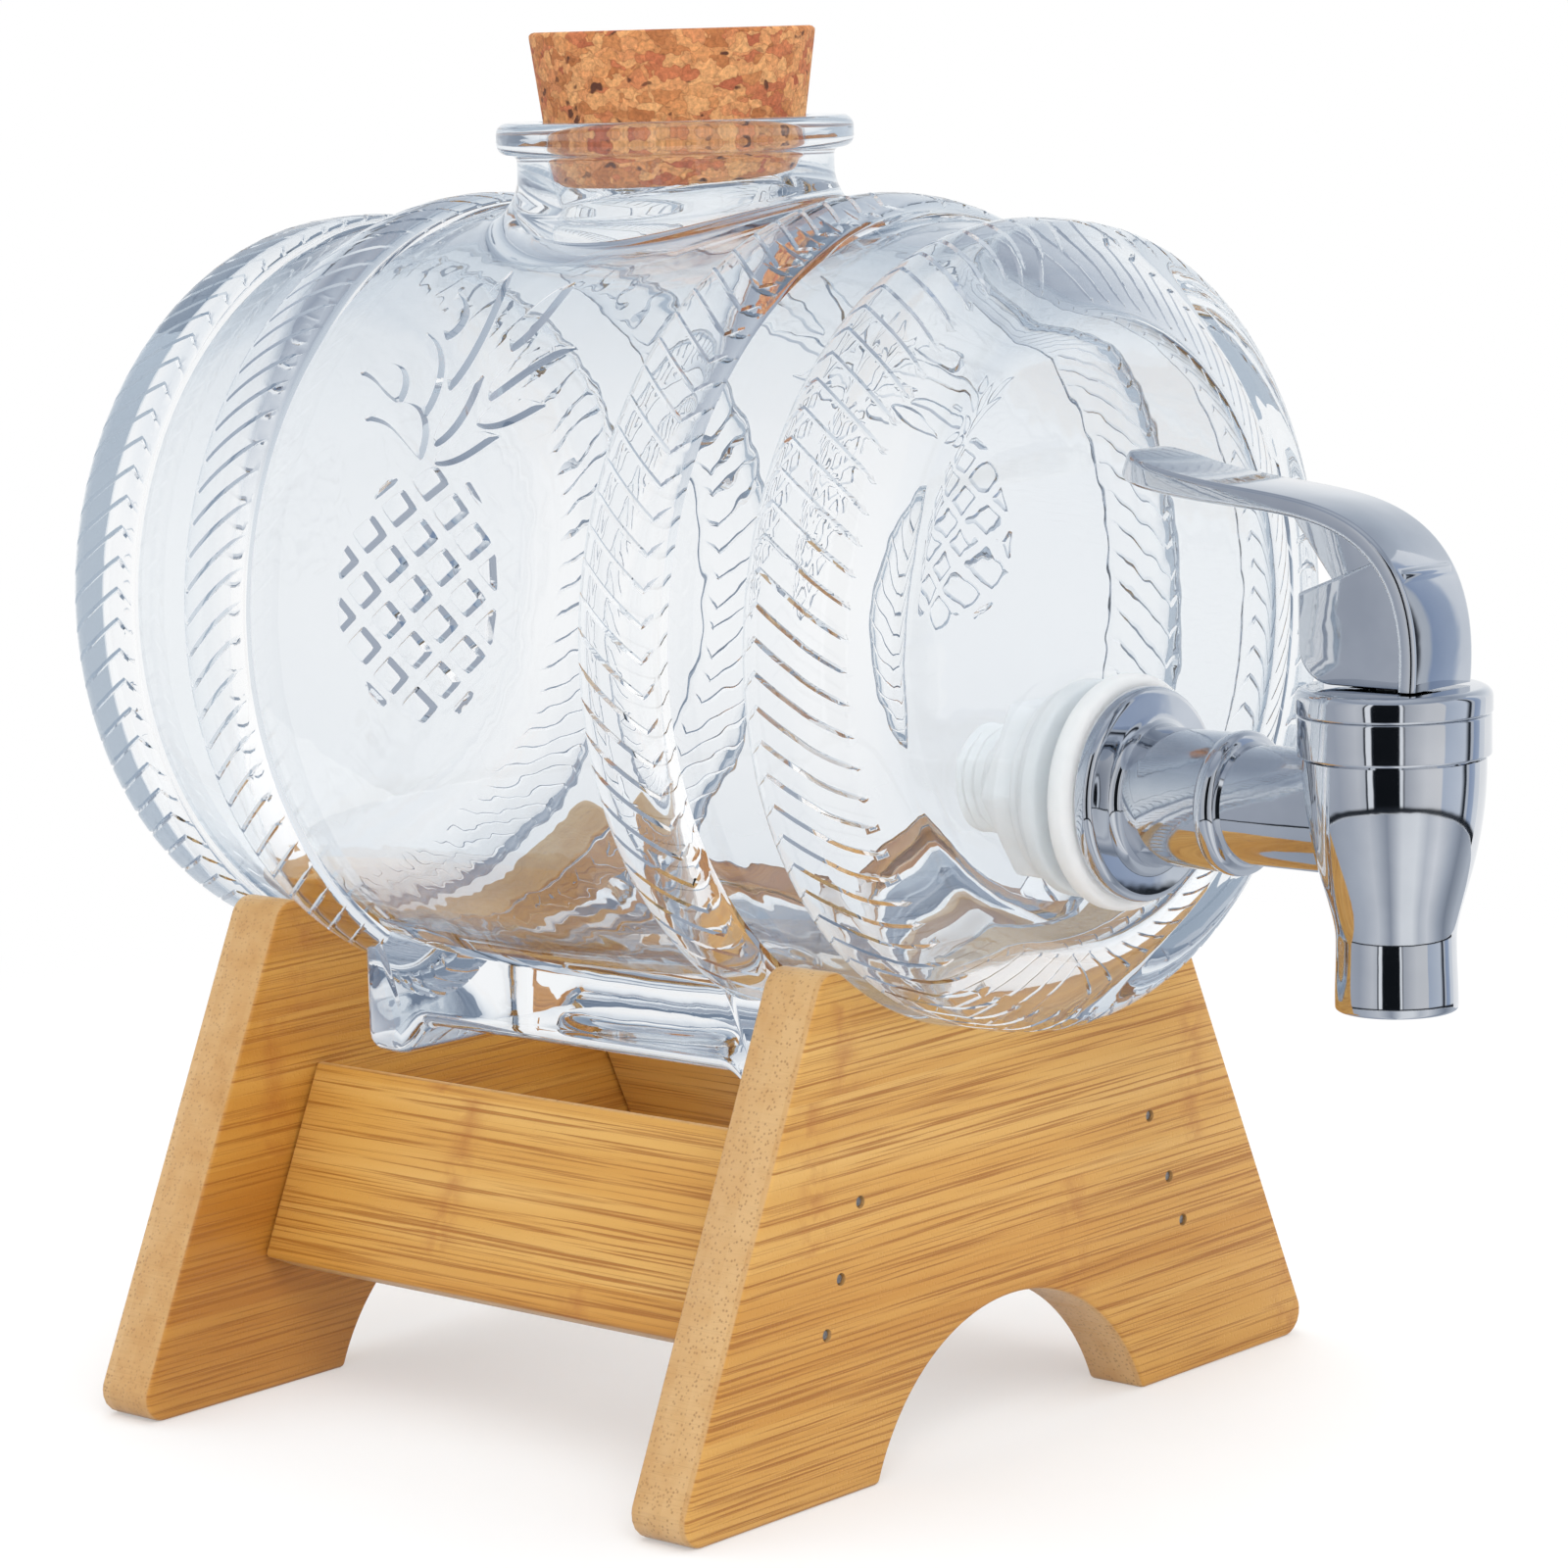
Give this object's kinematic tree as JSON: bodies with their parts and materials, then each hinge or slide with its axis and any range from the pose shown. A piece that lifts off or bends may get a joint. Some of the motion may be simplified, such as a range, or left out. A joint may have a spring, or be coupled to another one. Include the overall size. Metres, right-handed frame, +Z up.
{
  "type": "glass beverage dispenser",
  "caption": "Clear glass barrel drink dispenser lying on a bamboo cradle stand, with a corked neck on top and a spring-loaded chrome lever tap low in the front head.",
  "frame": {"origin": "under the middle of the whole object, on the surface that the stand stands on", "axes": "+Z up, +Y along the barrel's axis from the tapped head to the plain head, +X across the stand; the object is mirror-symmetric about the YZ plane"},
  "size_m": [0.1392, 0.213, 0.198],
  "materials": {
    "soda_glass": "clear pressed soda-lime glass, fire polished",
    "laminated_bamboo": "laminated bamboo board with a satin clear coat",
    "agglomerated_cork": "ground and polished agglomerated cork",
    "chrome_plating": "bright chrome plating over moulded ABS",
    "milky_silicone": "translucent moulded silicone",
    "white_nylon": "moulded white nylon",
    "bright_steel": "bright drawn steel wire"
  },
  "bodies": {
    "stand": {"front_panel": "laminated_bamboo", "rear_panel": "laminated_bamboo", "left_rail": "laminated_bamboo", "right_rail": "laminated_bamboo", "front_left_brad_1": "bright_steel", "front_left_brad_2": "bright_steel", "front_left_brad_3": "bright_steel", "front_right_brad_1": "bright_steel", "front_right_brad_2": "bright_steel", "front_right_brad_3": "bright_steel", "rear_left_brad_1": "bright_steel", "rear_left_brad_2": "bright_steel", "rear_left_brad_3": "bright_steel", "rear_right_brad_1": "bright_steel", "rear_right_brad_2": "bright_steel", "rear_right_brad_3": "bright_steel"},
    "barrel": {"glass_barrel": "soda_glass", "tap_body": "chrome_plating", "tap_cap": "chrome_plating", "outer_washer": "milky_silicone", "inner_washer": "milky_silicone", "lock_nut": "white_nylon", "valve_spring": "bright_steel"},
    "cork": {"cork_stopper": "agglomerated_cork"},
    "plug": {"valve_plug": "milky_silicone"},
    "stem": {"valve_stem": "white_nylon", "lever_pin": "bright_steel"},
    "lever": {"lever": "chrome_plating"}
  },
  "joints": [
    {"name": "barrel_lift", "type": "slide", "parent": "stand", "child": "barrel", "axis": [0, 0, 1], "range_m": [0, 0.08]},
    {"name": "cork_pull", "type": "slide", "parent": "barrel", "child": "cork", "axis": [0, 0, 1], "range_m": [0, 0.06]},
    {"name": "valve_lift", "type": "slide", "parent": "barrel", "child": "plug", "axis": [0, 0, 1], "range_m": [0, 0.00143], "deforming": ["valve_spring"]},
    {"name": "handle_swivel", "type": "hinge", "parent": "plug", "child": "stem", "pos_m": [0, -0.09367, 0.1], "axis": [0, 0, 1], "continuous": true},
    {"name": "lever_tilt", "type": "hinge", "parent": "stem", "child": "lever", "pos_m": [0, -0.09367, 0.119], "axis": [-1, 0, 0], "range_deg": [0, 14], "stiffness_Nm_per_rad": 0.2, "springref_deg": -22.92}
  ],
  "couplings": [
    {"joint": "valve_lift", "follows": "lever_tilt", "m_per_rad": 0.005834}
  ]
}
